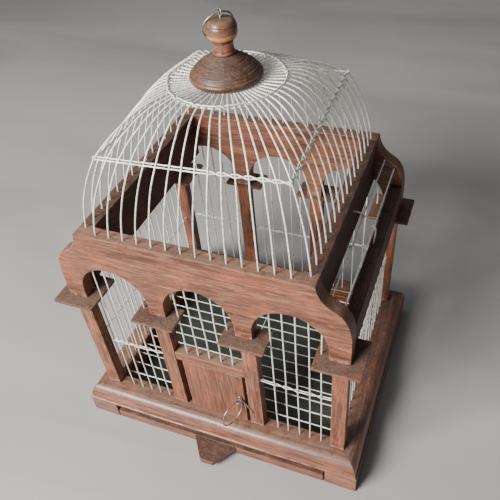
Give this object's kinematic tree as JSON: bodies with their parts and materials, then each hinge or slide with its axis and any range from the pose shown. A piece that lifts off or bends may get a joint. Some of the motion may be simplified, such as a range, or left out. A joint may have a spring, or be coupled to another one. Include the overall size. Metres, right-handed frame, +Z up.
{
  "type": "bird cage",
  "caption": "Domed bird cage: a moulded wooden plinth with a slide-out tray, an arcaded wooden cabin with a hinged door, and a wire dome under a turned finial with a hanging ring.",
  "frame": {"origin": "on the ground under the middle of the whole part's box, tray tab included", "axes": "+Z up; the door and the tray's tab face -Y; +X is to the right of someone facing the door"},
  "size_m": [0.3, 0.273, 0.4113],
  "materials": {
    "plinth_wood": "satin, worn",
    "tray_wood": "satin, worn",
    "tray_board": "matt, painted dark grey-green",
    "column_wood": "satin, worn",
    "capital_wood": "satin, dusty",
    "arcade_wood": "satin, worn",
    "rail_wood": "matt, dark stained",
    "door_wood": "satin, worn",
    "disc_wood": "satin, dusty",
    "knob_wood": "polished",
    "wire": "galvanised, dull",
    "fittings": "bright wire, dulled"
  },
  "bodies": {
    "frame": {"plinth_front": "plinth_wood", "plinth_back": "plinth_wood", "plinth_left": "plinth_wood", "plinth_right": "plinth_wood", "tray_runner_left": "tray_board", "tray_runner_right": "tray_board", "floor_grille": "wire", "column_front_1": "column_wood", "column_front_2": "column_wood", "column_front_3": "column_wood", "column_front_4": "column_wood", "column_back_1": "column_wood", "column_back_2": "column_wood", "column_back_3": "column_wood", "column_back_4": "column_wood", "capital_front_1": "capital_wood", "capital_front_2": "capital_wood", "capital_front_3": "capital_wood", "capital_front_4": "capital_wood", "capital_back_1": "capital_wood", "capital_back_2": "capital_wood", "capital_back_3": "capital_wood", "capital_back_4": "capital_wood", "arcade_front": "arcade_wood", "arcade_back": "arcade_wood", "top_rail_left": "rail_wood", "top_rail_right": "rail_wood", "eave_rail_left": "rail_wood", "eave_rail_right": "rail_wood", "door_header": "door_wood", "door_pivot_lower": "fittings", "door_pivot_upper": "fittings", "front_wires_left": "wire", "front_wires_middle": "wire", "front_wires_right": "wire", "back_wires_left": "wire", "back_wires_middle": "wire", "back_wires_right": "wire", "side_wires_left": "wire", "side_wires_right": "wire", "roof_wires_left": "wire", "roof_wires_right": "wire", "dome_front": "wire", "dome_right": "wire", "dome_back": "wire", "dome_left": "wire", "dome_ring": "wire", "finial_disc": "disc_wood", "finial_knob": "knob_wood", "crown_screw_eye": "fittings"},
    "tray": {"tray_floor": "tray_board", "tray_front_bar": "tray_wood", "tray_pull_tab": "tray_wood"},
    "door": {"door_panel": "door_wood", "door_screw_eye": "fittings"},
    "door_ring": {"door_pull_ring": "fittings"},
    "latch": {"door_latch_hook": "fittings"},
    "crown_ring": {"hanging_ring": "fittings"}
  },
  "joints": [
    {"name": "tray_slide", "type": "slide", "parent": "frame", "child": "tray", "axis": [0, -1, 0], "range_m": [0, 0.19]},
    {"name": "door_hinge", "type": "hinge", "parent": "frame", "child": "door", "pos_m": [-0.0272, -0.093, 0.078], "axis": [0, 0, -1], "range_deg": [0, 95]},
    {"name": "door_ring_swing", "type": "hinge", "parent": "door", "child": "door_ring", "pos_m": [0.028, -0.1, 0.081], "axis": [-0.9426, 0.3338, 0], "range_deg": [0, 85]},
    {"name": "latch_swing", "type": "hinge", "parent": "door", "child": "latch", "pos_m": [0.028, -0.0966, 0.081], "axis": [0, -1, 0], "range_deg": [0, 150]},
    {"name": "crown_ring_swing", "type": "hinge", "parent": "frame", "child": "crown_ring", "pos_m": [0, 0.0115, 0.408], "axis": [0.6428, 0.766, 0], "range_deg": [0, 270]}
  ]
}
